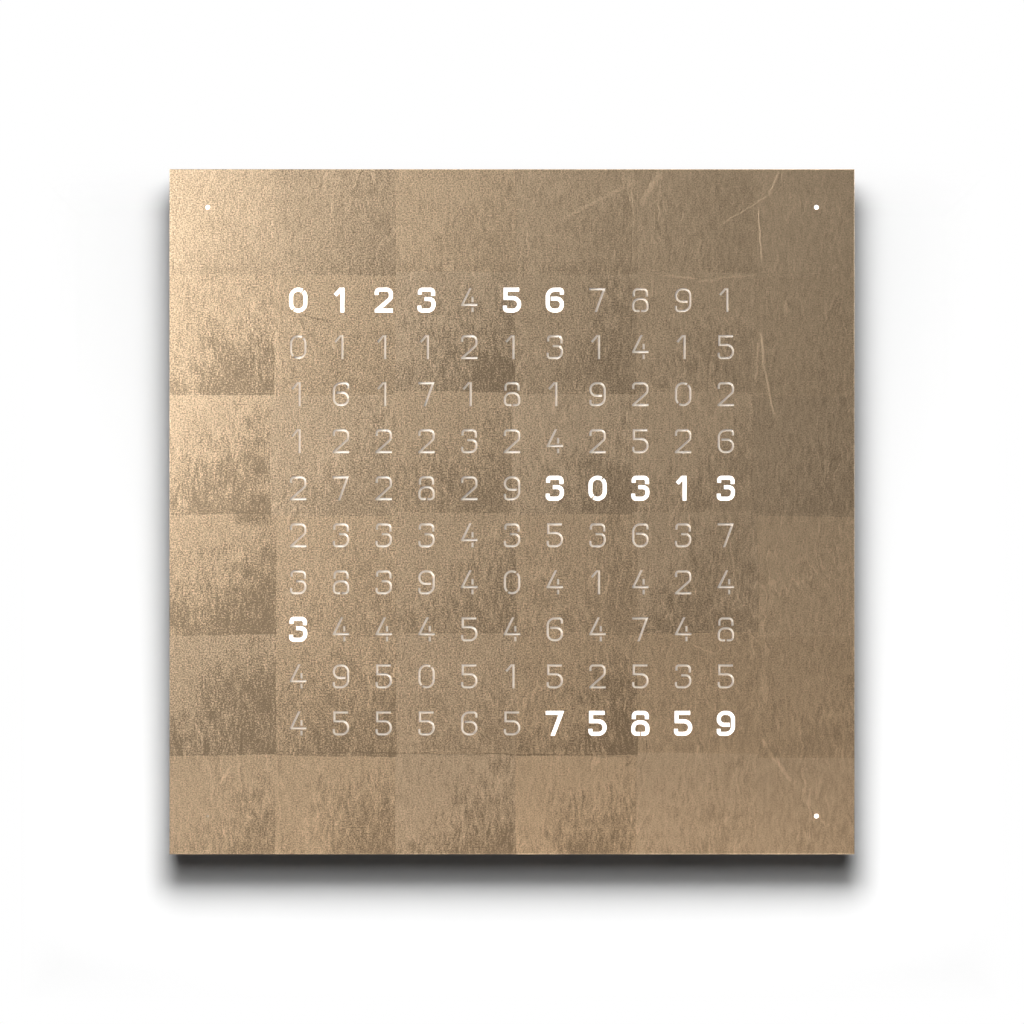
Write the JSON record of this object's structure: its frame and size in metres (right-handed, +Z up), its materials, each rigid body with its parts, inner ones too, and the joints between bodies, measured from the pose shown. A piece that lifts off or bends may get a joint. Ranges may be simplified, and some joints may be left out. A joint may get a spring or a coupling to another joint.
{
  "type": "wall word clock",
  "caption": "Square wall clock that shows the time with lit cut-outs in a magnet-held steel front cover, over a grid of light cells in a shallow tray.",
  "frame": {"origin": "centre of the tray's back face, on the wall", "axes": "+X to the right seen from the front, +Z up, +Y into the wall"},
  "size_m": [0.45, 0.02, 0.45],
  "materials": {
    "gold_leaf": "satin",
    "opal_acrylic": "satin",
    "lacquered_board": "satin",
    "white_moulding": "matte",
    "circuit_board": "satin",
    "dark_circuit_board": "satin",
    "light_package": "satin",
    "chip_plastic": "matte",
    "steel_zinc": "satin",
    "nickel": "polished",
    "aluminium_can": "satin",
    "header_plastic": "satin",
    "lead_insulation": "matte",
    "black_plastic": "satin",
    "clear_acrylic": "gloss",
    "ferrite": "matte",
    "copper_winding": "satin",
    "brass_pin": "polished"
  },
  "bodies": {
    "case": {"body_tray": "lacquered_board", "led_board": "circuit_board", "matrix_leds": "light_package", "light_grid": "white_moulding", "diffuser": "opal_acrylic", "corner_boards": "circuit_board", "corner_leds": "light_package", "corner_light_cups": "white_moulding", "corner_leads": "lead_insulation", "controller_board": "dark_circuit_board", "board_spacers": "white_moulding", "controller_chip": "chip_plastic", "led_driver_chips": "chip_plastic", "smoothing_capacitor": "aluminium_can", "crystal": "nickel", "cell_holder": "black_plastic", "backup_cell": "nickel", "board_headers": "header_plastic", "ribbon_cable": "lead_insulation", "power_board": "dark_circuit_board", "dc_socket": "black_plastic", "dc_socket_pin": "brass_pin", "power_leads": "lead_insulation", "button_board": "dark_circuit_board", "button_switches": "black_plastic", "button_leads": "lead_insulation", "sensor_board": "dark_circuit_board", "light_sensor": "clear_acrylic", "sensor_window": "clear_acrylic", "sensor_leads": "lead_insulation", "antenna_rod": "ferrite", "antenna_coil": "copper_winding", "antenna_clips": "white_moulding", "antenna_leads": "lead_insulation", "body_magnets": "nickel", "left_hanger": "steel_zinc", "right_hanger": "steel_zinc"},
    "cover": {"front_cover": "gold_leaf", "cover_magnets": "nickel"},
    "hour_key": {"hour_button": "black_plastic", "hour_stem": "white_moulding"},
    "minute_key": {"minute_button": "black_plastic", "minute_stem": "white_moulding"},
    "mode_key": {"mode_button": "black_plastic", "mode_stem": "white_moulding"}
  },
  "joints": [
    {"name": "cover_pull", "type": "slide", "parent": "case", "child": "cover", "axis": [0, -1, 0], "range_m": [0, 0.04]},
    {"name": "hour_press", "type": "slide", "parent": "case", "child": "hour_key", "axis": [0, 0, 1], "range_m": [0, 0.0008], "stiffness_N_per_m": 800, "springref_m": -0.001},
    {"name": "minute_press", "type": "slide", "parent": "case", "child": "minute_key", "axis": [0, 0, 1], "range_m": [0, 0.0008], "stiffness_N_per_m": 800, "springref_m": -0.001},
    {"name": "mode_press", "type": "slide", "parent": "case", "child": "mode_key", "axis": [0, 0, 1], "range_m": [0, 0.0008], "stiffness_N_per_m": 800, "springref_m": -0.001}
  ]
}
